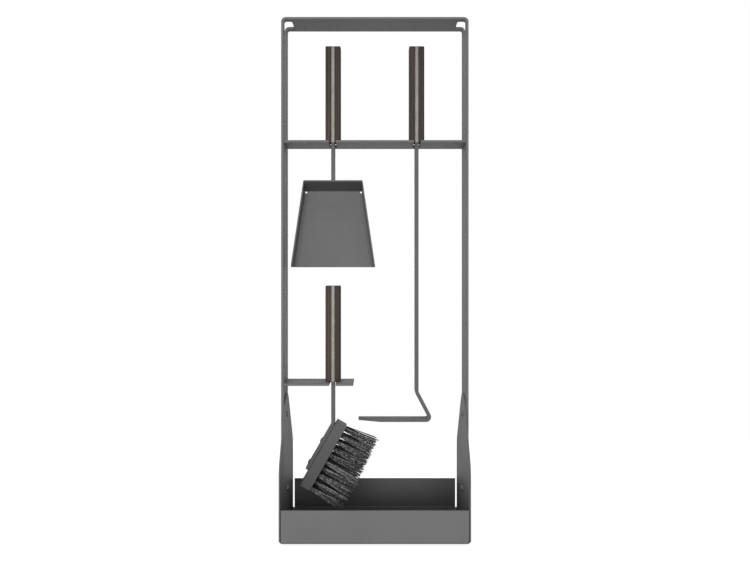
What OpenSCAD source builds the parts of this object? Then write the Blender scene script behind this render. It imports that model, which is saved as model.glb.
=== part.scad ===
// Fireplace tool set: a strip hoop on a folded tray carries a shovel, a poker and a brush.
// X points right, Y points back and Z points up.
// The origin is on the floor, below the middle of the stand.

/* [Stand] */
// Outer width of the hoop
stand_w = 284; // [270:1:330]
// Overall height
stand_h = 780; // [765:1:860]
// Width of the hoop strip and the rails, front to back
strip_w = 50; // [44:1:60]
// Thickness of the hoop strip and the rails
strip_t = 4; // [3:0.5:6]
// Inside radius of the hoop's two bends
hoop_bend_r = 3; // [1:0.5:6]
// Width of the window at each bend, front to back
window_w = 30; // [20:1:36]
// Length of the window along the top, from the outer face
window_top = 15.5; // [12:0.5:24]
// Length of the window down the leg, from the top face
window_side = 19; // [14:0.5:30]
// Corner radius of the window
window_r = 3; // [2:0.5:8]

/* [Tray] */
// Outer depth of the tray
tray_d = 160; // [150:1:180]
// Height of the tray's front and back walls above the floor it stands on
wall_h = 51; // [36:1:60]
// Thickness of the folded sheet
sheet_t = 2; // [1.5:0.5:3]
// Inside radius of the sheet's bends
sheet_bend_r = 1.5; // [1:0.25:2.5]
// Top of the side panels
leaf_h = 206; // [190:1:215]
// Lean of the side panels' sloping edges, in degrees
leaf_lean = 35; // [32:1:40]
// Radius of the side panels' round tip
leaf_tip_r = 25; // [15:1:30]
// Radius of the side panels' shoulders
leaf_shoulder_r = 40; // [10:1:50]
// Gap between the side panels and the back wall
corner_gap = 2; // [1:0.5:4]
// Diameter of the foot pads
pad_d = 20; // [14:1:28]
// Height of the foot pads
pad_h = 2; // [1:0.5:4]

/* [Rails] */
// Top face of the tool rail
rail_z = 593.5; // [585:0.5:610]
// Top face of the brush bracket
bracket_z = 225; // [222:0.5:235]
// Length of the brush bracket
bracket_l = 105; // [95:1:115]
// Distance of each tool from the middle of the stand
tool_x = 64.5; // [62:0.5:68]
// Width of the slots
slot_w = 10; // [8:0.5:12]
// Distance of the slots' closed ends behind the middle of the rail
slot_back = 14; // [13:0.5:18]

/* [Handles] */
// Width of the handles
handle_w = 23.5; // [18:0.5:26]
// Length of the handles
handle_l = 148; // [120:0.5:155]
// Radius of the handles' four long edges
handle_edge_r = 3; // [1:0.5:6]
// Chamfer at both ends of the handles
handle_chamfer = 1; // [0.5:0.25:2]
// Thickness of the tools' flat bars
bar_t = 5.5; // [4:0.5:6]
// Depth of the bars and the handles, front to back
bar_d = 18; // [14:0.5:18]
// Diameter of the handle pins
pin_d = 4; // [3:0.5:5]

/* [Shovel] */
// Width of the pan floor at its upper fold
pan_top_w = 88.5; // [70:0.5:100]
// Width of the pan floor at its lower edge
pan_low_w = 123.5; // [105:0.5:126]
// Length of the pan floor from its upper fold to its lower edge
pan_l = 118.5; // [90:0.5:130]
// Height of the pan's walls in front of its floor
pan_wall = 18; // [12:0.5:22]
// Outward lean of the pan's side walls, in degrees
pan_flare = 5; // [0:0.5:10]
// Angle that the pan's back wall is folded forward, in degrees
pan_back_fold = 55; // [40:1:70]
// Distance from the rail's top face down to the pan's upper fold
pan_drop = 73.5; // [60:0.5:90]
// Diameter of the relief holes at the ends of the upper fold
relief_d = 3; // [2:0.25:4]

/* [Poker] */
// Distance from the rail's top face down to the underside of the prong
poker_drop = 430.5; // [380:0.5:440]
// Angle of the sideways kick, in degrees
kick_angle = 28; // [15:1:40]
// Straight length of the kick
kick_l = 37; // [20:1:45]
// Length of the prong from the tight bend to its tip
prong_l = 104.5; // [80:0.5:120]
// Length over which the prong narrows to its point
point_l = 34; // [20:1:50]

/* [Brush] */
// Distance from the bracket's top face down to the bend in the bar
brush_drop = 63; // [56:0.5:66]
// Lean of the brush block, in degrees
brush_tilt = 30; // [20:0.2:32]
// Length of the bar along the back of the block
brush_arm = 77.5; // [76:0.5:95]
// Length of the block
block_l = 112.5; // [107:0.5:113]
// Thickness of the block in the direction of the bristles
block_t = 17; // [14:0.5:18]
// Width of the block, front to back
block_w = 28; // [22:0.5:32]
// Free length of the bristles at the upper end
bristle_top_l = 50; // [35:1:55]
// Free length of the bristles at the lower end
bristle_low_l = 55.5; // [35:0.5:56]

/* [Hidden] */
$fn = 64;

coat = "#47494b";
wood = "#3f2f25";
black = "#1c1c1d";
blackened = "#5a5b5d";

cut = 1; // overlap of a cutting shape past the face that it cuts
arc_steps = 10; // straight steps in an outline's arc

inner_w = stand_w - 2 * strip_t;
hoop_outer_r = hoop_bend_r + strip_t;
sheet_outer_r = sheet_bend_r + sheet_t;

// The screws through each side panel and leg, by height
side_screw_z = [58, 174];
side_screw_r = 2.5;
leg_bore_r = side_screw_r + 0.05;
panel_bore_r = side_screw_r + 0.1;
side_head_r = 4.5;
side_head_h = 2.2;
socket_r = 1.7;
head_profile = [[0.6, 1], [0.9, 0.6], [1, 0.2], [1, 0]]; // shares of a head's radius and height
pad_inset_x = 22;
pad_inset_y = 18;

bracket_corner_r = 2;
front_corner_gap = 0.8;
leaf_foot = tray_d / 2 - sheet_t - corner_gap; // half the depth of the side panels at the floor
relief_h = pad_h + sheet_outer_r + 0.5; // height of the relief below the tray's front corners

pin_play = 0.05;
pin_sink = 0.15; // depth of a pin's ends below the wood
pin_share = [0.22, 0.78]; // places of the pins along a handle

// The pan's floor lies behind the bar's middle, in Y
pan_y = 8.5;
pan_z = rail_z - pan_drop;
pan_slope = atan((pan_low_w - pan_top_w) / 2 / pan_l);
pan_low_corner_r = 6;
lip_gap = 0.3; // how far the side walls' upper corners stay below the back wall's outer face
back_lean = 90 - pan_back_fold;

// The poker's two bends, to the middle of the bar
kick_r = 12;
hook_r = 5;
prong_z = rail_z - poker_drop + bar_t / 2;
hook_c = [
    tool_x + kick_r * (1 - cos(kick_angle)) + kick_l * sin(kick_angle) - hook_r * cos(kick_angle),
    prong_z + hook_r
];
kick_c = [
    tool_x + kick_r,
    hook_c.y + hook_r * sin(kick_angle) + kick_l * cos(kick_angle) + kick_r * sin(kick_angle)
];
tip_x = hook_c.x - prong_l;
tip_w = 3;

// The bend in the brush's bar, and the end of that bend, where the arm starts
brush_bend_r = 10;
brush_bend_z = bracket_z - brush_drop;
arm_start = [
    -tool_x - brush_bend_r * (1 - cos(brush_tilt)),
    brush_bend_z - brush_bend_r * sin(brush_tilt)
];
block_top = 9.8; // the block's upper end, above the start of the arm
block_screw_z = [-28.5, -66.5];
block_screw_r = 2;
block_screw_l = 14;
block_screw_play = 0.1;
block_head_r = 4;
block_head_h = 1.6;
bristle_inset = 2.5;
bristle_w = 24;
bristle_spread = 15.4; // how far the upper tips reach past the roots, along the block

// Points of an arc about c after its first one, from angle a to angle b
function arc(c, r, a, b) = [
    for (i = [1:arc_steps]) c + r * [cos(a + (b - a) * i / arc_steps), sin(a + (b - a) * i / arc_steps)]
];

function reversed(points) = [for (i = [len(points) - 1:-1:0]) points[i]];

// Draws a profile in X and Z, and extrudes it along Y about the middle
module xz_slab(depth) {
    translate([0, depth / 2, 0])
        rotate([90, 0, 0])
            linear_extrude(depth) children();
}

// Draws a profile in Y and Z, and extrudes it along X about the middle
module yz_slab(width) {
    translate([-width / 2, 0, 0])
        rotate([90, 0, 90])
            linear_extrude(width) children();
}

// Rectangle that stands on the base line, with round top corners
module arch(w, h, r) {
    polygon(concat(
        [[-w / 2, 0], [w / 2, 0], [w / 2, h - r]],
        arc([w / 2 - r, h - r], r, 0, 90),
        [[r - w / 2, h]],
        arc([r - w / 2, h - r], r, 90, 180)
    ));
}

// Section of a channel with its walls up, from z = low to z = high
module channel(w, low, high) {
    difference() {
        translate([0, high]) mirror([0, 1]) arch(w, high - low, sheet_outer_r);
        translate([0, high + cut])
            mirror([0, 1])
                arch(w - 2 * sheet_t, high + cut - low - sheet_t, sheet_bend_r);
    }
}

// Slot that opens at the base line and is l long, with a round end
module round_slot(w, l) {
    translate([-w / 2, 0]) square([w, l - w / 2]);
    translate([0, l - w / 2]) circle(w / 2);
}

// Button-head screw along +Z, with the underside of its head at z = 0 and its head below
module button_screw(r, l, head_r, head_h) {
    difference() {
        rotate_extrude()
            polygon(concat(
                [[0, -head_h]],
                [for (p = head_profile) [head_r * p[0], -head_h * p[1]]],
                [[r, 0], [r, l], [0, l]]
            ));
        translate([0, 0, -head_h - cut]) cylinder(h = head_h / 2 + cut, r = socket_r, $fn = 6);
    }
}

// ---- Stand ----

module bend_window(side) {
    edge = side * stand_w / 2;
    translate([edge + side * cut, 0, stand_h - hoop_outer_r - cut])
        rotate([0, 0, side * 90])
            linear_extrude(hoop_outer_r + 2 * cut) arch(window_w, window_top + cut, window_r);
    translate([edge - side * hoop_outer_r / 2, 0, stand_h + cut])
        mirror([0, 0, 1])
            yz_slab(hoop_outer_r + 2 * cut) arch(window_w, window_side + cut, window_r);
}

module side_screw_bores(r, from_x, to_x) {
    for (side = [-1, 1], z = side_screw_z)
        translate([side * from_x, 0, z])
            rotate([0, side * 90, 0]) cylinder(h = to_x - from_x, r = r);
}

module frame_hoop() {
    color(coat) difference() {
        xz_slab(strip_w) difference() {
            translate([0, pad_h]) arch(stand_w, stand_h - pad_h, hoop_outer_r);
            translate([0, pad_h - cut]) arch(inner_w, stand_h - strip_t - pad_h + cut, hoop_bend_r);
        }
        for (side = [-1, 1]) bend_window(side);
        side_screw_bores(leg_bore_r, inner_w / 2 - cut, stand_w / 2 + cut);
    }
}

// One edge of a side panel, from foot_z up, with its straight part at half from the middle
function leaf_edge(half, foot_z) =
    let (
        tip_c = [0, leaf_h - leaf_tip_r],
        r = leaf_shoulder_r,
        corner_z = tip_c.y + (leaf_tip_r - half * cos(leaf_lean)) / sin(leaf_lean),
        shoulder_z = corner_z - r * tan(leaf_lean / 2)
    )
    concat(
        [[half, foot_z], [half, shoulder_z]],
        arc([half - r, shoulder_z], r, 0, leaf_lean),
        [tip_c + leaf_tip_r * [cos(leaf_lean), sin(leaf_lean)]],
        arc(tip_c, leaf_tip_r, leaf_lean, 90)
    );

module leaf() {
    back = leaf_edge(leaf_foot, 0);
    front = [for (p = leaf_edge(tray_d / 2, relief_h)) [-p.x, p.y]];
    polygon(concat(back, reversed(front), [[-leaf_foot, relief_h], [-leaf_foot, 0]]));
}

module base_tray() {
    back_wall_w = inner_w - 2 * (sheet_t + corner_gap);
    front_wall_w = inner_w - 2 * (sheet_t + front_corner_gap);
    front_foot_w = min(front_wall_w, inner_w - 2 * sheet_outer_r);
    color(coat) difference() {
        union() {
            intersection() {
                xz_slab(tray_d) channel(inner_w, pad_h, leaf_h);
                yz_slab(inner_w + 2 * cut) leaf();
            }
            intersection() {
                yz_slab(inner_w) channel(tray_d, pad_h, wall_h);
                union() {
                    translate([-front_foot_w / 2, -tray_d / 2, 0]) cube([front_foot_w, tray_d / 2, wall_h]);
                    translate([-front_wall_w / 2, -tray_d / 2, relief_h])
                        cube([front_wall_w, 2 * sheet_t, wall_h - relief_h]);
                    translate([-back_wall_w / 2, 0, 0]) cube([back_wall_w, tray_d / 2, wall_h]);
                }
            }
        }
        side_screw_bores(panel_bore_r, inner_w / 2 - sheet_t - cut, inner_w / 2 + cut);
    }
}

module tool_slot(x, z) {
    translate([x, -strip_w / 2 - cut, z - strip_t - cut])
        linear_extrude(strip_t + 2 * cut) round_slot(slot_w, strip_w / 2 + cut + slot_back);
}

module tool_rail() {
    color(coat) difference() {
        translate([-inner_w / 2, -strip_w / 2, rail_z - strip_t]) cube([inner_w, strip_w, strip_t]);
        for (x = [-tool_x, tool_x]) tool_slot(x, rail_z);
    }
}

module brush_bracket() {
    color(coat) difference() {
        translate([-inner_w / 2, 0, bracket_z - strip_t])
            rotate([0, 0, -90])
                linear_extrude(strip_t) arch(strip_w, bracket_l, bracket_corner_r);
        tool_slot(-tool_x, bracket_z);
    }
}

module side_screws() {
    color(blackened)
        for (side = [-1, 1], z = side_screw_z)
            translate([side * (inner_w / 2 - sheet_t), 0, z])
                rotate([0, side * 90, 0])
                    button_screw(side_screw_r, sheet_t + strip_t, side_head_r, side_head_h);
}

module foot_pads() {
    color(black)
        for (x = [-1, 1], y = [-1, 1])
            translate([x * (inner_w / 2 - pad_inset_x), y * (tray_d / 2 - pad_inset_y), 0])
                cylinder(h = pad_h, r = pad_d / 2);
}

// ---- Handles, with z = 0 at the face that they stand on ----

module handle_pins(r, l) {
    for (share = pin_share)
        translate([-l / 2, 0, share * handle_l])
            rotate([0, 90, 0]) cylinder(h = l, r = r);
}

// Wooden half of a handle, on the side that side names: -1 left, 1 right
module handle_scale(side) {
    w = handle_w / 2;
    d = bar_d / 2;
    c = handle_chamfer;
    color(wood) mirror([side < 0 ? 1 : 0, 0, 0]) difference() {
        intersection() {
            translate([bar_t / 2, 0, 0])
                linear_extrude(handle_l) rotate(-90) arch(bar_d, w - bar_t / 2, handle_edge_r);
            xz_slab(bar_d + cut)
                polygon([[0, 0], [w - c, 0], [w, c], [w, handle_l - c], [w - c, handle_l], [0, handle_l]]);
            yz_slab(handle_w + cut)
                polygon([
                    [c - d, 0], [d - c, 0], [d, c], [d, handle_l - c],
                    [d - c, handle_l], [c - d, handle_l], [-d, handle_l - c], [-d, c]
                ]);
        }
        handle_pins(pin_d / 2 + pin_play, handle_w + cut);
    }
}

module rivets() {
    color(blackened) handle_pins(pin_d / 2, handle_w - 2 * pin_sink);
}

// Flat bar from the top of the handle to low_front and low_back, its lower end's front and back corners
module flat_bar(low_front, low_back) {
    b = bar_d / 2;
    c = handle_chamfer;
    difference() {
        yz_slab(bar_t)
            polygon([
                [-b, low_front], [b, low_back], [b, handle_l - c],
                [b - c, handle_l], [c - b, handle_l], [-b, handle_l - c]
            ]);
        handle_pins(pin_d / 2 + pin_play, handle_w);
    }
}

// ---- Shovel ----

// Section of a folded sheet: a flat that ends at the origin with its inner face on the base line,
// a bend of the given angle and a second flat
module fold_section(angle, flat_a, flat_b) {
    along = [cos(angle), sin(angle)];
    inner_end = [0, sheet_bend_r] + sheet_bend_r * [cos(angle - 90), sin(angle - 90)];
    outer_end = [0, sheet_bend_r] + sheet_outer_r * [cos(angle - 90), sin(angle - 90)];
    polygon(concat(
        [[-flat_a, -sheet_t], [0, -sheet_t]],
        arc([0, sheet_bend_r], sheet_outer_r, -90, angle - 90),
        [outer_end + flat_b * along, inner_end + flat_b * along, inner_end],
        arc([0, sheet_bend_r], sheet_bend_r, angle - 90, -90),
        [[-flat_a, 0]]
    ));
}

// The pan is drawn with its upper fold at z = 0, its floor's inner face at y = 0 and its walls towards -Y.

// Side view of the space that the side walls keep to
module pan_side_view() {
    tip = -pan_wall;
    back = sheet_t;
    rise = tan(back_lean);
    lip = sheet_t / cos(back_lean) - lip_gap;
    r = pan_low_corner_r;
    polygon(concat(
        [[back, -pan_l], [back, -back * rise], [tip, lip - tip * rise], [tip, r - pan_l]],
        arc([tip + r, r - pan_l], r, 180, 270)
    ));
}

// Extrudes the section of a side fold along one side of the pan: -1 left, 1 right
module along_side(side) {
    mirror([side < 0 ? 1 : 0, 0, 0])
        translate([pan_low_w / 2 - sheet_bend_r, 0, -pan_l])
            rotate([0, -pan_slope, 0])
                translate([0, 0, -pan_wall])
                    linear_extrude(pan_l + 3 * pan_wall)
                        mirror([0, 1]) children();
}

module pan_side(side) {
    intersection() {
        along_side(side) fold_section(90 - pan_flare, 2 * sheet_t, 2 * pan_wall);
        yz_slab(2 * pan_low_w) pan_side_view();
    }
}

// Section of the space beside a side fold, out to the middle of its sheet
module fold_inside() {
    mid = sheet_t / 2;
    mid_r = sheet_bend_r + mid;
    mid_end = [mid_r * cos(pan_flare), sheet_bend_r - mid_r * sin(pan_flare)];
    polygon(concat(
        [[-pan_low_w, -2 * sheet_t], [-mid, -2 * sheet_t], [-mid, -mid], [0, -mid]],
        arc([0, sheet_bend_r], mid_r, -90, -pan_flare),
        [mid_end + 2 * pan_wall * [sin(pan_flare), cos(pan_flare)], [-pan_low_w, 2 * pan_wall]]
    ));
}

module pan_back() {
    intersection() {
        translate([0, 0, -sheet_bend_r * tan(pan_back_fold / 2)])
            yz_slab(pan_low_w)
                rotate(90) fold_section(pan_back_fold, 2 * sheet_t, 3 * pan_wall);
        translate([-pan_low_w / 2, -pan_wall, -pan_l]) cube([pan_low_w, pan_wall + sheet_t, 2 * pan_l]);
        along_side(-1) fold_inside();
        along_side(1) fold_inside();
    }
}

module pan_floor() {
    top_z = -sheet_bend_r * tan(pan_back_fold / 2);
    top_half = pan_top_w / 2 - sheet_bend_r;
    low_half = pan_low_w / 2 - sheet_bend_r;
    translate([0, sheet_t / 2, 0])
        xz_slab(sheet_t)
            polygon([[-top_half, top_z], [top_half, top_z], [low_half, -pan_l], [-low_half, -pan_l]]);
}

module shovel_pan() {
    color(coat)
        translate([-tool_x, pan_y, pan_z])
            difference() {
                union() {
                    pan_floor();
                    pan_side(-1);
                    pan_side(1);
                    pan_back();
                }
                for (side = [-1, 1])
                    translate([side * (pan_top_w / 2 - sheet_bend_r), sheet_t + cut, -sheet_bend_r])
                        rotate([90, 0, 0]) cylinder(h = 3 * sheet_t, r = relief_d / 2);
            }
}

// Height of the outer face of the pan's back wall at a given Y
function pan_back_z(y) = pan_z + (pan_y - y) * tan(back_lean) + sheet_t / cos(back_lean);

module shovel_bar() {
    color(coat)
        translate([-tool_x, 0, rail_z])
            flat_bar(pan_back_z(-bar_d / 2) - rail_z, pan_back_z(bar_d / 2) - rail_z);
}

// ---- Poker ----

// One edge of the bent part of the poker: side 1 is left of the way down to the tip, -1 right of it
function poker_edge(side) =
    concat(
        [[tool_x + side * bar_t / 2, kick_c.y]],
        arc(kick_c, kick_r - side * bar_t / 2, 180, 180 + kick_angle),
        arc(hook_c, hook_r + side * bar_t / 2, kick_angle, -90),
        [[tip_x, prong_z - side * bar_t / 2]]
    );

module poker_bar() {
    color(coat) difference() {
        union() {
            translate([tool_x, 0, rail_z]) flat_bar(kick_c.y - rail_z, kick_c.y - rail_z);
            xz_slab(bar_d) polygon(concat(poker_edge(1), reversed(poker_edge(-1))));
        }
        translate([0, 0, prong_z - bar_t])
            linear_extrude(2 * bar_t)
                polygon([
                    [tip_x + point_l, -bar_d / 2], [tip_x, bar_d / 2 - tip_w], [tip_x - cut, bar_d / 2 - tip_w],
                    [tip_x - cut, -bar_d], [tip_x + point_l, -bar_d]
                ]);
    }
}

// ---- Brush ----

// Puts its children at the start of the arm, with -Z along the arm and +X towards the bristles
module on_arm() {
    translate([arm_start.x, 0, arm_start.y])
        rotate([0, brush_tilt, 0]) children();
}

// One edge of the bent part of the brush's bar, on the side that side names: -1 left, 1 right
function brush_bar_edge(side) =
    let (
        bend_c = [-tool_x - brush_bend_r, brush_bend_z],
        arm_end = arm_start - brush_arm * [sin(brush_tilt), cos(brush_tilt)]
    )
    concat(
        [[-tool_x + side * bar_t / 2, brush_bend_z]],
        arc(bend_c, brush_bend_r + side * bar_t / 2, 0, -brush_tilt),
        [arm_end + side * bar_t / 2 * [cos(brush_tilt), -sin(brush_tilt)]]
    );

module brush_bar() {
    color(coat) difference() {
        union() {
            translate([-tool_x, 0, bracket_z]) flat_bar(-brush_drop, -brush_drop);
            xz_slab(bar_d) polygon(concat(brush_bar_edge(1), reversed(brush_bar_edge(-1))));
        }
        on_arm()
            for (z = block_screw_z)
                translate([-bar_t, 0, z])
                    rotate([0, 90, 0]) cylinder(h = 2 * bar_t, r = block_screw_r + block_screw_play);
    }
}

module brush_block() {
    color(black) on_arm() difference() {
        translate([bar_t / 2, -block_w / 2, block_top - block_l]) cube([block_t, block_w, block_l]);
        for (z = block_screw_z)
            translate([0, 0, z])
                rotate([0, 90, 0]) cylinder(h = block_screw_l, r = block_screw_r + block_screw_play);
    }
}

module brush_screws() {
    color(blackened) on_arm()
        for (z = block_screw_z)
            translate([-bar_t / 2, 0, z])
                rotate([0, 90, 0]) button_screw(block_screw_r, block_screw_l, block_head_r, block_head_h);
}

module brush_bristles() {
    root_x = bar_t / 2 + block_t;
    root_top = block_top - bristle_inset;
    root_low = block_top - block_l + bristle_inset;
    color(black) on_arm()
        xz_slab(bristle_w)
            polygon([
                [root_x, root_top], [root_x + bristle_top_l, root_top + bristle_spread],
                [root_x + bristle_low_l, root_low], [root_x, root_low]
            ]);
}

module shovel_handle_left() { translate([-tool_x, 0, rail_z]) handle_scale(-1); }
module shovel_handle_right() { translate([-tool_x, 0, rail_z]) handle_scale(1); }
module shovel_rivets() { translate([-tool_x, 0, rail_z]) rivets(); }
module poker_handle_left() { translate([tool_x, 0, rail_z]) handle_scale(-1); }
module poker_handle_right() { translate([tool_x, 0, rail_z]) handle_scale(1); }
module poker_rivets() { translate([tool_x, 0, rail_z]) rivets(); }
module brush_handle_left() { translate([-tool_x, 0, bracket_z]) handle_scale(-1); }
module brush_handle_right() { translate([-tool_x, 0, bracket_z]) handle_scale(1); }
module brush_rivets() { translate([-tool_x, 0, bracket_z]) rivets(); }

frame_hoop();
base_tray();
tool_rail();
brush_bracket();
side_screws();
foot_pads();
shovel_bar();
shovel_handle_left();
shovel_handle_right();
shovel_rivets();
shovel_pan();
poker_bar();
poker_handle_left();
poker_handle_right();
poker_rivets();
brush_bar();
brush_handle_left();
brush_handle_right();
brush_rivets();
brush_block();
brush_screws();
brush_bristles();
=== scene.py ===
"""Looks of the fireplace tool set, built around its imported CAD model, in metres.

The CAD nodes stay in place with eased edges and layered materials. Only the brush's bristles are
replaced, by tufts of separate strands.
"""

import math
import random

import bmesh
import bpy
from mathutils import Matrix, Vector


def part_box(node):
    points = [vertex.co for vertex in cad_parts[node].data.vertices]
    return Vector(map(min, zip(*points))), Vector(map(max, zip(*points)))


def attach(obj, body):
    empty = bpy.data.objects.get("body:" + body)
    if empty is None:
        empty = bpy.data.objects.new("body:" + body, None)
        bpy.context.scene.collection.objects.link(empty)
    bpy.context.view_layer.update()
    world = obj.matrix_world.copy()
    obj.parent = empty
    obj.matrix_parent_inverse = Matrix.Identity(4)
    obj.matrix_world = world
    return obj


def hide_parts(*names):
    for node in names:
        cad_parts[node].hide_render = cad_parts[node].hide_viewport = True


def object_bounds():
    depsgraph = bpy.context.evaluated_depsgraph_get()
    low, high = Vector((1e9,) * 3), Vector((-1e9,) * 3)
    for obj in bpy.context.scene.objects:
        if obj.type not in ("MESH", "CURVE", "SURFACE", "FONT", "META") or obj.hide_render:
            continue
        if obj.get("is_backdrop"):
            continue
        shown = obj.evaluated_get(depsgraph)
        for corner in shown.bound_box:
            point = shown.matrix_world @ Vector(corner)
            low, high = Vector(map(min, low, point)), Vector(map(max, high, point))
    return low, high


# ---- View ----
SENSOR_W = 0.036
LENS = 0.0323
CAMERA_GAP = 0.964  # from the tray's front wall to the camera
CAMERA_X = 0.0002
CAMERA_Z = 0.380

# ---- Stage ----
FLOOR_HALF_W = 2.6
FLOOR_FRONT = 0.75
WALL_GAP = 0.55  # from the middle of the stand back to the start of the sweep
SWEEP_R = 0.35
WALL_H = 1.9
SWEEP_STEPS = 16
BACKDROP_R = 9.0
STAGE_GREY = 0.25
STAGE_GLOW = 0.77  # with the light on the grey, this makes the floor white
SKY_GLOW = 0.35

# ---- Sheet metal, as in the CAD model ----
SHEET_T = 0.002  # thickness of the tray's and the pan's sheet
PAN_BACK_LEAN = math.radians(35)  # of the pan's back wall, above the horizontal
PAN_BACK_RISE = 0.015  # from the pan's upper fold to its highest edge
SHADE_TOP = 0.085  # heights between which the painted shade in the tray deepens
SHADE_LOW = 0.045

# ---- Colours, linear ----
COAT = (0.046, 0.0463, 0.047)
COAT_LIGHT = (0.055, 0.0553, 0.0555)
STAND_COAT = (0.051, 0.0513, 0.052)
STAND_LIGHT = (0.060, 0.0603, 0.0605)
# Colour towards which the coat is painted darker: painted shade inside the tray and on the pan's back wall
PAINTED_SHADE = (0.012, 0.012, 0.0122)
BAR_COAT = (0.036, 0.0363, 0.037)
BAR_LIGHT = (0.044, 0.0443, 0.0445)
COAT_RUBBED = (0.066, 0.066, 0.066)
# Darker coat colour for edges, a painted shade along them
COAT_EDGE_SHADE = (0.030, 0.030, 0.0302)
COAT_GLOSS = 0.25
STEEL_DARK = (0.15, 0.144, 0.136)
STEEL_STAIN = (0.085, 0.080, 0.075)
BARE_STEEL = (0.19, 0.182, 0.172)
BLACK_OXIDE = (0.085, 0.086, 0.09)
WORN_OXIDE = (0.16, 0.155, 0.15)
BLOCK_BLACK = (0.011, 0.011, 0.0112)
BLOCK_LIGHT = (0.019, 0.019, 0.019)
RUBBER = (0.018, 0.018, 0.018)
RUBBER_LIGHT = (0.03, 0.03, 0.03)
BRISTLE_DARK = (0.003, 0.003, 0.003)
BRISTLE_LIGHT = (0.30, 0.297, 0.292)
FIBRE_GLOSS = 0.15
WOOD_DARK = (0.0055, 0.0037, 0.0029)
WOOD_MID = (0.0148, 0.0102, 0.0077)
WOOD_LIGHT = (0.036, 0.0247, 0.0194)
WOOD_PORE = (0.010, 0.008, 0.006)
WOOD_GLOSS = 0.16
GLUE_X = 0.0023  # from the middle of a bar to the glue line beside the wood

# ---- Brush, as in the CAD model ----
BLOCK_TILT = math.radians(30)
BLOCK_L = 0.1125
BLOCK_T = 0.017
BRISTLE_SEED = 11
GOLDEN_ANGLE = 2.399963
TUFTS = 10
TUFT_END_GAP = 0.0045
TUFT_ROWS = (-0.0082, 0.0, 0.0082)
TUFT_R = 0.0022
TUFT_STAGGER = 0.0015  # how far the back row is shifted up the block at its low end
TUFT_FAN = 0.082  # how fast a tuft widens along its length, at its outer strands
CLUMPS = 15
STRANDS = 7
STRAND_R = 0.00022
STRAND_SIDES = 4
STRAND_POINTS = 6
ROOT_DEPTH = 0.0015
LENGTH_TOP = 0.0505
LENGTH_LOW = 0.0565


# ---- Node trees ----

def new_tree(name):
    """A new material with an empty Principled BSDF, and that shader node."""
    material = bpy.data.materials.new(name)
    material.use_nodes = True
    return material, material.node_tree.nodes["Principled BSDF"]


def add(tree, kind, inputs=None, **settings):
    """A new node. Values in inputs are constants or another node's output sockets."""
    node = tree.nodes.new(kind)
    for key, value in settings.items():
        setattr(node, key, value)
    for key, value in (inputs or {}).items():
        plug(tree, node.inputs[key], value)
    return node


def plug(tree, socket, value):
    if isinstance(value, bpy.types.NodeSocket):
        tree.links.new(value, socket)
    else:
        socket.default_value = value


def place(tree, scale, shift=(0, 0, 0)):
    """The object's own coordinates, scaled: x times scale gives the texture's x, and so on."""
    where = add(tree, "ShaderNodeTexCoord").outputs["Object"]
    node = add(tree, "ShaderNodeMapping", {"Vector": where, "Scale": scale, "Location": shift})
    return node.outputs["Vector"]


def noise(tree, vector, scale, detail=2.0, rough=0.5, distortion=0.0):
    return add(tree, "ShaderNodeTexNoise", {
        "Vector": vector, "Scale": scale, "Detail": detail, "Roughness": rough, "Distortion": distortion,
    }).outputs["Fac"]


def remap(tree, value, low, high, to_low=0.0, to_high=1.0):
    """Maps low..high of a value to to_low..to_high, clamped."""
    inputs = {"Value": value, "From Min": low, "From Max": high, "To Min": to_low, "To Max": to_high}
    return add(tree, "ShaderNodeMapRange", inputs).outputs["Result"]


def maths(tree, operation, a, b):
    node = add(tree, "ShaderNodeMath", operation=operation)
    plug(tree, node.inputs[0], a)
    plug(tree, node.inputs[1], b)
    return node.outputs[0]


def blend(tree, factor, a, b):
    """Mixes two colours."""
    node = add(tree, "ShaderNodeMix", data_type="RGBA")
    plug(tree, node.inputs["Factor"], factor)
    for socket, colour in zip((s for s in node.inputs if s.type == "RGBA"), (a, b)):
        plug(tree, socket, (*colour, 1.0) if isinstance(colour, tuple) else colour)
    return next(s for s in node.outputs if s.type == "RGBA")


def bump(tree, height, strength, distance, normal=None):
    inputs = {"Height": height, "Strength": strength, "Distance": distance}
    if normal is not None:
        inputs["Normal"] = normal
    return add(tree, "ShaderNodeBump", inputs).outputs["Normal"]


# ---- Materials ----

def coat_colour(tree, base, light):
    """Colour of the powder coat: slow clouds, a fine speckle and a few pale scuffs."""
    at = place(tree, (1, 1, 1))
    cloud = remap(tree, noise(tree, at, 14.0, 3.0), 0.35, 0.65)
    speckle = remap(tree, noise(tree, at, 2600.0, 1.0), 0.42, 0.62)
    shade = maths(tree, "ADD", maths(tree, "MULTIPLY", cloud, 0.45), maths(tree, "MULTIPLY", speckle, 0.55))
    colour = blend(tree, shade, base, light)
    streaks = noise(tree, place(tree, (60, 60, 900)), 1.0, 4.0, 0.6, 1.2)
    patches = noise(tree, at, 22.0, 2.0)
    scuff = maths(tree, "MULTIPLY", remap(tree, streaks, 0.66, 0.74), remap(tree, patches, 0.55, 0.68))
    return blend(tree, maths(tree, "MULTIPLY", scuff, 0.35), colour, COAT_RUBBED), scuff


def coat_surface(tree, scuff):
    """Roughness and normal of the powder coat: orange peel with a fine grain over it."""
    at = place(tree, (1, 1, 1))
    peel = noise(tree, at, 520.0, 2.0, 0.45)
    grain = noise(tree, at, 3200.0, 2.0, 0.6)
    rough = maths(tree, "ADD", remap(tree, peel, 0.3, 0.7, 0.58, 0.68), maths(tree, "MULTIPLY", scuff, 0.12))
    normal = bump(tree, grain, 0.35, 0.00006, bump(tree, peel, 0.5, 0.00010))
    return rough, normal


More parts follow.
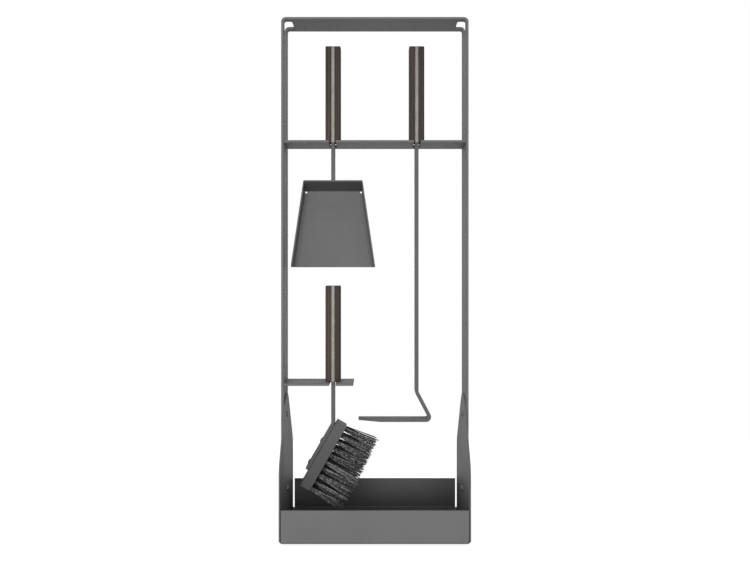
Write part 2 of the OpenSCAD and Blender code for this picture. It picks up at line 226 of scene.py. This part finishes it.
def shade_inside(tree, colour, low, high):
    """Painted shade that darkens the coat inside a tray, which has the given corners, towards its floor."""
    at = add(tree, "ShaderNodeSeparateXYZ", {"Vector": place(tree, (1, 1, 1))})
    # Painted shade: the inner faces darken towards the tray's floor
    inside = remap(tree, at.outputs["Z"], SHADE_TOP, SHADE_LOW, 0.0, 0.55)
    for axis, end in (("X", high.x), ("Y", high.y)):
        beside = maths(tree, "ABSOLUTE", at.outputs[axis], 0.0)
        inside = maths(tree, "MULTIPLY", inside, maths(tree, "LESS_THAN", beside, end - SHEET_T / 2))
    return blend(tree, inside, colour, PAINTED_SHADE)


def shade_pan(tree, colour, high):
    """Painted shade on the inner face of the back wall of a pan, which has the given highest corner."""
    at = add(tree, "ShaderNodeSeparateXYZ", {"Vector": place(tree, (1, 1, 1))})
    fold_z = high.z - PAN_BACK_RISE
    up = maths(tree, "SUBTRACT", at.outputs["Z"], fold_z)
    behind = maths(tree, "SUBTRACT", at.outputs["Y"], high.y - SHEET_T)
    up_share = maths(tree, "MULTIPLY", up, math.cos(PAN_BACK_LEAN))
    behind_share = maths(tree, "MULTIPLY", behind, math.sin(PAN_BACK_LEAN))
    depth = maths(tree, "ADD", up_share, behind_share)
    inner = maths(tree, "LESS_THAN", depth, SHEET_T / 2)
    # Painted shade over the inner face of the back wall, above its fold
    pan_shade = remap(tree, up, -0.0005, 0.0015, 0.0, 0.72)
    return blend(tree, maths(tree, "MULTIPLY", pan_shade, inner), colour, PAINTED_SHADE)


def powder_coat(name, base, light, tray=None, pan=None):
    """The powder coat. tray and pan are the lowest and highest corners of a tray and a pan that get painted
    shade inside.
    """
    material, shader = new_tree(name)
    tree = material.node_tree
    colour, scuff = coat_colour(tree, base, light)
    if tray is not None:
        colour = shade_inside(tree, colour, *tray)
    if pan is not None:
        colour = shade_pan(tree, colour, pan[1])
    rough, normal = coat_surface(tree, scuff)
    plug(tree, shader.inputs["Base Color"], colour)
    plug(tree, shader.inputs["Roughness"], rough)
    plug(tree, shader.inputs["Normal"], normal)
    shader.inputs["Specular IOR Level"].default_value = COAT_GLOSS
    return material


def coat_edge(name):
    """The coat on an edge: painted darker than on the flats as a painted shade along the edges, in patches,
    with small rubbed spots.
    """
    material, shader = new_tree(name)
    tree = material.node_tree
    at = place(tree, (1, 1, 1))
    edge_patches = remap(tree, noise(tree, at, 90.0, 3.0, 0.6), 0.45, 0.75)
    spot = remap(tree, noise(tree, at, 420.0, 3.0, 0.65), 0.66, 0.72)
    # Painted shade: edges are darker than the flats, in patches
    worn = blend(tree, edge_patches, COAT_EDGE_SHADE, COAT)
    colour = blend(tree, maths(tree, "MULTIPLY", spot, 0.4), worn, COAT_RUBBED)
    plug(tree, shader.inputs["Base Color"], colour)
    plug(tree, shader.inputs["Roughness"], remap(tree, edge_patches, 0.0, 1.0, 0.72, 0.6))
    shader.inputs["Specular IOR Level"].default_value = COAT_GLOSS
    plug(tree, shader.inputs["Normal"], bump(tree, noise(tree, at, 1500.0, 2.0), 0.25, 0.00005))
    return material


def bar_steel(name, split_z, middle_x):
    """Powder coat below split_z, and above it steel ground flush with the wood, between two glue lines."""
    material, coat = new_tree(name)
    tree = material.node_tree
    colour, scuff = coat_colour(tree, BAR_COAT, BAR_LIGHT)
    rough, normal = coat_surface(tree, scuff)
    plug(tree, coat.inputs["Base Color"], colour)
    plug(tree, coat.inputs["Roughness"], rough)
    plug(tree, coat.inputs["Normal"], normal)
    coat.inputs["Specular IOR Level"].default_value = COAT_GLOSS

    lines = noise(tree, place(tree, (5200, 5200, 90)), 1.0, 3.0, 0.6)
    stain = remap(tree, noise(tree, place(tree, (1, 1, 0.35)), 160.0, 3.0, 0.6), 0.4, 0.7)
    at = add(tree, "ShaderNodeSeparateXYZ", {"Vector": place(tree, (1, 1, 1), (-middle_x, 0, 0))})
    beside = maths(tree, "ABSOLUTE", at.outputs["X"], 0.0)
    glue = remap(tree, beside, GLUE_X - 0.0001, GLUE_X + 0.0001)
    bright = blend(tree, remap(tree, lines, 0.3, 0.7), STEEL_DARK, BARE_STEEL)
    stained = blend(tree, maths(tree, "MULTIPLY", stain, 0.45), bright, STEEL_STAIN)
    steel = add(tree, "ShaderNodeBsdfPrincipled", {
        "Base Color": blend(tree, glue, stained, WOOD_DARK),
        "Metallic": 1.0,
        "Roughness": remap(tree, lines, 0.3, 0.7, 0.60, 0.74),
        "Normal": bump(tree, lines, 0.3, 0.00008),
    })

    above = maths(tree, "GREATER_THAN", at.outputs["Z"], split_z)
    mix = add(tree, "ShaderNodeMixShader", {"Fac": above})
    tree.links.new(coat.outputs[0], mix.inputs[1])
    tree.links.new(steel.outputs[0], mix.inputs[2])
    output = next(n for n in tree.nodes if n.type == "OUTPUT_MATERIAL")
    tree.links.new(mix.outputs[0], output.inputs["Surface"])
    return material


def dark_wood(name, seed, warmth):
    """Smoked, oiled hardwood. warmth goes from 0, grey and dark, to 1, brown and lighter."""
    material, shader = new_tree(name)
    tree = material.node_tree
    shift = (seed * 7.31, seed * 3.17, seed * 1.73)
    drift = noise(tree, place(tree, (55, 55, 5.5), shift), 1.0, 3.0, 0.55)
    rings = add(tree, "ShaderNodeTexWave", {
        "Vector": place(tree, (1, 0.55, 0.02), shift),
        "Scale": 85.0, "Distortion": 6.0, "Detail": 2.0, "Detail Scale": 0.7, "Detail Roughness": 0.6,
    }).outputs["Fac"]
    fibre = noise(tree, place(tree, (1500, 1500, 42), shift), 1.0, 4.0, 0.65)
    pores = remap(tree, noise(tree, place(tree, (950, 950, 26), shift), 1.0, 2.0, 0.5), 0.60, 0.68)

    tone = maths(tree, "ADD", maths(tree, "MULTIPLY", rings, 0.35), maths(tree, "MULTIPLY", drift, 0.65))
    tone = maths(tree, "ADD", tone, maths(tree, "MULTIPLY", maths(tree, "SUBTRACT", fibre, 0.5), 0.9))
    low = tuple(d + warmth * 0.25 * (m - d) for d, m in zip(WOOD_DARK, WOOD_MID))
    high = tuple(m + warmth * (l - m) for m, l in zip(WOOD_MID, WOOD_LIGHT))
    colour = blend(tree, remap(tree, tone, 0.22, 0.74), low, high)
    colour = blend(tree, maths(tree, "MULTIPLY", pores, 0.75), colour, WOOD_PORE)
    plug(tree, shader.inputs["Base Color"], colour)
    plug(tree, shader.inputs["Roughness"], remap(tree, fibre, 0.3, 0.7, 0.55, 0.70))
    shader.inputs["Specular IOR Level"].default_value = WOOD_GLOSS
    surface = maths(tree, "SUBTRACT", maths(tree, "MULTIPLY", fibre, 0.35), pores)
    plug(tree, shader.inputs["Normal"], bump(tree, surface, 0.55, 0.00012))
    return material


def black_oxide(name):
    material, shader = new_tree(name)
    tree = material.node_tree
    at = place(tree, (1, 1, 1))
    worn = remap(tree, noise(tree, at, 700.0, 3.0, 0.6), 0.5, 0.72)
    plug(tree, shader.inputs["Base Color"], blend(tree, worn, BLACK_OXIDE, WORN_OXIDE))
    plug(tree, shader.inputs["Roughness"], remap(tree, worn, 0.0, 1.0, 0.44, 0.34))
    plug(tree, shader.inputs["Normal"], bump(tree, noise(tree, at, 2400.0, 2.0), 0.2, 0.00004))
    shader.inputs["Metallic"].default_value = 0.85
    return material


def moulded(name, colour, light, grain_scale, roughness):
    """Matt moulded plastic or rubber with a fine spark-eroded grain."""
    material, shader = new_tree(name)
    tree = material.node_tree
    at = place(tree, (1, 1, 1))
    grain = noise(tree, at, grain_scale, 2.0, 0.6)
    cloud = remap(tree, noise(tree, at, 45.0, 3.0, 0.6), 0.35, 0.68)
    speckle = remap(tree, grain, 0.35, 0.68)
    shade = maths(tree, "ADD", maths(tree, "MULTIPLY", cloud, 0.4), maths(tree, "MULTIPLY", speckle, 0.6))
    plug(tree, shader.inputs["Base Color"], blend(tree, shade, colour, light))
    plug(tree, shader.inputs["Roughness"], remap(tree, grain, 0.3, 0.7, roughness - 0.05, roughness + 0.07))
    plug(tree, shader.inputs["Normal"], bump(tree, grain, 0.45, 0.00010))
    return material


def fibre(name):
    """Stiff brush fibre. Each strand has its own tone, bunches of strands differ a little, and strands
    further back get a painted shade, near black at the back.
    """
    material, shader = new_tree(name)
    tree = material.node_tree
    own = add(tree, "ShaderNodeNewGeometry").outputs["Random Per Island"]
    along = noise(tree, place(tree, (1, 1, 1)), 900.0, 2.0)
    bunch = remap(tree, noise(tree, place(tree, (1, 1, 1)), 330.0, 1.0), 0.42, 0.58, 0.25, 1.0)
    tone = maths(tree, "MULTIPLY", maths(tree, "POWER", own, 1.6), remap(tree, along, 0.3, 0.7, 0.75, 1.0))
    depth = add(tree, "ShaderNodeSeparateXYZ", {"Vector": place(tree, (1, 1, 1))}).outputs["Y"]
    # Painted shade: strands further back in the brush get darker, to near black
    row_shade = remap(tree, depth, -0.0055, -0.0090, 0.06, 1.0)
    tone = maths(tree, "MULTIPLY", maths(tree, "MULTIPLY", tone, bunch), row_shade)
    plug(tree, shader.inputs["Base Color"], blend(tree, tone, BRISTLE_DARK, BRISTLE_LIGHT))
    plug(tree, shader.inputs["Roughness"], remap(tree, along, 0.3, 0.7, 0.44, 0.58))
    shader.inputs["Specular IOR Level"].default_value = FIBRE_GLOSS
    plug(tree, shader.inputs["Normal"], bump(tree, along, 0.15, 0.00005))
    return material


def white(name, grey, glow):
    """A matt grey that also glows white."""
    material, shader = new_tree(name)
    shader.inputs["Base Color"].default_value = (grey, grey, grey, 1.0)
    shader.inputs["Roughness"].default_value = 0.9
    shader.inputs["Specular IOR Level"].default_value = 0.0
    shader.inputs["Emission Color"].default_value = (1.0, 1.0, 1.0, 1.0)
    shader.inputs["Emission Strength"].default_value = glow
    return material


# ---- CAD nodes ----

def ease(obj, width, segments=2, edge_index=-1, clamp=False):
    """Joins the CAD mesh's faces, rounds its sharp edges and shades flats flat and bends smooth."""
    weld = obj.modifiers.new("Weld", "WELD")
    weld.merge_threshold = 1e-6
    join = obj.modifiers.new("Join flats", "DECIMATE")
    join.decimate_type = "DISSOLVE"
    join.angle_limit = math.radians(0.3)
    bevel = obj.modifiers.new("Ease edges", "BEVEL")
    bevel.width = width
    bevel.segments = segments
    bevel.limit_method = "ANGLE"
    bevel.angle_limit = math.radians(28)
    bevel.use_clamp_overlap = clamp
    bevel.material = edge_index
    shade = obj.modifiers.new("Shading", "WEIGHTED_NORMAL")
    shade.mode = "FACE_AREA_WITH_ANGLE"
    shade.weight = 100


def dress(node, material, width, edge=None, segments=2, clamp=False):
    """Gives a CAD node its material, and its rounded edges a material of their own if there is one."""
    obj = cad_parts[node]
    obj.data.materials.clear()
    obj.data.materials.append(material)
    if edge is not None:
        obj.data.materials.append(edge)
    ease(obj, width, segments, 1 if edge is not None else -1, clamp)


# ---- Bristles ----

def strand_mesh(mesh, line, radius, sides):
    """Adds one strand: a tube with the given number of sides along the line, which thins towards its tip."""
    across = (line[-1] - line[0]).orthogonal().normalized()
    beside = (line[-1] - line[0]).normalized().cross(across)
    rings = []
    for i, point in enumerate(line):
        r = radius * (1.0 - 0.45 * (i / (len(line) - 1)) ** 2)
        ring = []
        for k in range(sides):
            a = 2 * math.pi * k / sides
            ring.append(mesh.verts.new(point + r * (math.cos(a) * across + math.sin(a) * beside)))
        rings.append(ring)
    for low, high in zip(rings, rings[1:]):
        for k in range(sides):
            mesh.faces.new((low[k], low[(k + 1) % sides], high[(k + 1) % sides], high[k]))
    mesh.faces.new(rings[0][::-1])
    mesh.faces.new(rings[-1])


def tuft(mesh, rng, root, out, along, length):
    """Adds one tuft: clumps of strands that fan out from a round hole in the block."""
    depth = Vector((0, 1, 0))
    for clump in range(CLUMPS):
        r = TUFT_R * math.sqrt((clump + 0.5) / CLUMPS)
        a = GOLDEN_ANGLE * clump + rng.uniform(-0.3, 0.3)
        u, v = r * math.cos(a), r * math.sin(a)
        fan = TUFT_FAN / TUFT_R
        aim = out + (fan * u + rng.gauss(0, 0.012)) * along + (fan * v + rng.gauss(0, 0.012)) * depth
        curl = rng.gauss(0, 0.0014) * along + rng.gauss(0, 0.0014) * depth
        reach = length * (1 + rng.gauss(0, 0.030))
        for _ in range(STRANDS):
            du, dv = rng.gauss(0, 0.00030), rng.gauss(0, 0.00030)
            tip_u, tip_v = rng.gauss(0, 0.0006), rng.gauss(0, 0.0006)
            own = reach * (1 + rng.gauss(0, 0.022))
            line = []
            for i in range(STRAND_POINTS):
                t = i / (STRAND_POINTS - 1)
                side = (u + du + t * tip_u) * along + (v + dv + t * tip_v) * depth
                line.append(root - ROOT_DEPTH * out + side + t * (own + ROOT_DEPTH) * aim + t * t * curl)
            strand_mesh(mesh, line, STRAND_R * rng.uniform(0.8, 1.2), STRAND_SIDES)


def build_bristles():
    low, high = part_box("brush_block")
    middle = (low + high) / 2
    along = Vector((math.sin(BLOCK_TILT), 0, math.cos(BLOCK_TILT)))
    out = Vector((math.cos(BLOCK_TILT), 0, -math.sin(BLOCK_TILT)))
    rng = random.Random(BRISTLE_SEED)
    mesh = bmesh.new()
    for i in range(TUFTS):
        share = i / (TUFTS - 1)  # 0 at the low end
        place_along = (share - 0.5) * (BLOCK_L - 2 * TUFT_END_GAP)
        lean = math.radians(0.7 + 3.0 * share ** 1.2) + rng.gauss(0, 0.012)
        aim = math.cos(lean) * out + math.sin(lean) * along
        for row in TUFT_ROWS:
            side = row / TUFT_ROWS[-1]
            at = place_along + side * (1 - share) * TUFT_STAGGER
            root = middle + BLOCK_T / 2 * out + at * along + Vector((0, row, 0))
            sway = side * 0.05
            length = LENGTH_LOW + share * (LENGTH_TOP - LENGTH_LOW) + rng.gauss(0, 0.0006)
            tuft(mesh, rng, root, (aim + sway * Vector((0, 1, 0))).normalized(), along, length)
    data = bpy.data.meshes.new("brush_tufts")
    mesh.to_mesh(data)
    mesh.free()
    data.materials.append(fibre("bristle_fibre"))
    for face in data.polygons:
        face.use_smooth = True
    tufts = bpy.data.objects.new("brush_tufts", data)
    bpy.context.scene.collection.objects.link(tufts)
    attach(tufts, "brush")
    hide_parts("brush_bristles")


# ---- Stage, light and camera ----

def add_stage(name, mesh, material):
    data = bpy.data.meshes.new(name)
    mesh.to_mesh(data)
    mesh.free()
    for face in data.polygons:
        face.use_smooth = True
    data.materials.append(material)
    obj = bpy.data.objects.new(name, data)
    bpy.context.scene.collection.objects.link(obj)
    obj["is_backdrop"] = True
    return obj


def stage_sheet(name, profile, material):
    """A sheet that is FLOOR_HALF_W wide on each side, along a profile of (y, z) points."""
    mesh = bmesh.new()
    rows = [[mesh.verts.new((x, y, z)) for x in (-FLOOR_HALF_W, FLOOR_HALF_W)] for y, z in profile]
    for a, b in zip(rows, rows[1:]):
        mesh.faces.new((a[0], a[1], b[1], b[0]))
    return add_stage(name, mesh, material)


def build_stage():
    """A floor, a wall behind it that only gives light, and a white backdrop all round that gives none."""
    floor_white = white("stage_white", STAGE_GREY, STAGE_GLOW)
    stage_sheet("stage", [(-FLOOR_FRONT, 0.0), (WALL_GAP, 0.0)], floor_white)

    profile = [(WALL_GAP, 0.0)]
    for i in range(1, SWEEP_STEPS + 1):
        a = math.pi / 2 * i / SWEEP_STEPS
        profile.append((WALL_GAP + SWEEP_R * math.sin(a), SWEEP_R * (1 - math.cos(a))))
    profile.append((WALL_GAP + SWEEP_R, WALL_H))
    stage_sheet("stage_wall", profile, floor_white).visible_camera = False

    mesh = bmesh.new()
    bmesh.ops.create_uvsphere(mesh, u_segments=32, v_segments=16, radius=BACKDROP_R)
    backdrop = add_stage("backdrop", mesh, white("backdrop_white", 0.0, 1.0))
    backdrop.visible_diffuse = False
    backdrop.visible_glossy = False
    backdrop.visible_transmission = False
    backdrop.visible_volume_scatter = False
    backdrop.visible_shadow = False


def area_light(name, place_at, target, size, power):
    data = bpy.data.lights.new(name, "AREA")
    data.shape = "RECTANGLE"
    data.size, data.size_y = size
    data.energy = power
    light = bpy.data.objects.new(name, data)
    light.location = place_at
    light.rotation_euler = (Vector(target) - Vector(place_at)).to_track_quat("-Z", "Y").to_euler()
    bpy.context.scene.collection.objects.link(light)


def build_light():
    world = bpy.data.worlds.new("studio")
    world.use_nodes = True
    sky = world.node_tree.nodes["Background"]
    sky.inputs["Color"].default_value = (1.0, 1.0, 1.0, 1.0)
    sky.inputs["Strength"].default_value = SKY_GLOW
    bpy.context.scene.world = world
    area_light("front", (-0.15, -2.1, 0.45), (0, 0, 0.30), (2.2, 0.6), 64)
    area_light("front_high", (-0.15, -2.1, 1.5), (0, 0, 0.20), (2.0, 0.6), 14)
    area_light("left", (-1.9, -0.9, 0.9), (0, 0, 0.35), (0.9, 1.2), 17)
    area_light("right", (1.9, -0.9, 0.9), (0, 0, 0.35), (0.9, 1.2), 13)
    area_light("top", (0.0, -0.35, 2.3), (0, 0, 0.4), (1.4, 1.0), 35)


def build_camera():
    low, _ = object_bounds()
    data = bpy.data.cameras.new("camera")
    data.sensor_width = SENSOR_W * 1000
    data.lens = LENS * 1000
    camera = bpy.data.objects.new("camera", data)
    camera.location = (CAMERA_X, low.y - CAMERA_GAP, CAMERA_Z)
    camera.rotation_euler = (math.pi / 2, 0, 0)
    bpy.context.scene.collection.objects.link(camera)
    bpy.context.scene.camera = camera


# ---- Main ----

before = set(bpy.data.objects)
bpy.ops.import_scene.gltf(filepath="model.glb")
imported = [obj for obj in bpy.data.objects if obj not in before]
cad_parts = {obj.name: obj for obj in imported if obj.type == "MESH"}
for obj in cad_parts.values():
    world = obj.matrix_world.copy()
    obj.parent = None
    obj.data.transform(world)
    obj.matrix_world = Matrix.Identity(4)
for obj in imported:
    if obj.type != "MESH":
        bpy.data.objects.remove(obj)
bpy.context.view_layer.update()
bpy.context.scene.view_settings.view_transform = "Standard"

stand_coat = powder_coat("coated_steel_stand", STAND_COAT, STAND_LIGHT)
# The tray's coat carries a painted shade inside, darker towards its floor
tray_coat = powder_coat("coated_steel_tray", STAND_COAT, STAND_LIGHT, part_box("base_tray"))
rail_coat = powder_coat("coated_steel_rail", COAT, COAT_LIGHT)
# The pan's coat carries a painted shade on the inner face of its back wall
pan_coat = powder_coat("coated_steel_pan", COAT, COAT_LIGHT, pan=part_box("shovel_pan"))
# Rounded edges get their own coat, painted darker as a shade
edge = coat_edge("coated_steel_edge")
dress("frame_hoop", stand_coat, 0.0005, edge)
dress("base_tray", tray_coat, 0.00035, edge)
dress("tool_rail", rail_coat, 0.0005, edge)
dress("brush_bracket", stand_coat, 0.0005, edge)
dress("shovel_pan", pan_coat, 0.00035, edge, clamp=True)

oxide = black_oxide("blackened_steel")
for node in ("side_screws", "brush_screws"):
    dress(node, oxide, 0.00015)
for tool, warm_left, warm_right in (("shovel", 0.9, 0.35), ("poker", 0.75, 0.45), ("brush", 0.8, 0.3)):
    rivets_low, rivets_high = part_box(f"{tool}_rivets")
    middle_x = (rivets_low.x + rivets_high.x) / 2
    split_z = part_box(f"{tool}_handle_left")[0].z
    dress(f"{tool}_bar", bar_steel(f"{tool}_bar_steel", split_z, middle_x), 0.00045)
    for side, warmth in (("left", warm_left), ("right", warm_right)):
        seed = len(bpy.data.materials)
        dress(f"{tool}_handle_{side}", dark_wood(f"{tool}_wood_{side}", seed, warmth), 0.0003)
    dress(f"{tool}_rivets", oxide, 0.0002)
dress("brush_block", moulded("block_plastic", BLOCK_BLACK, BLOCK_LIGHT, 1500.0, 0.60), 0.0007, segments=3)
dress("foot_pads", moulded("foot_rubber", RUBBER, RUBBER_LIGHT, 1100.0, 0.75), 0.0004)
build_bristles()

build_stage()
build_light()
build_camera()
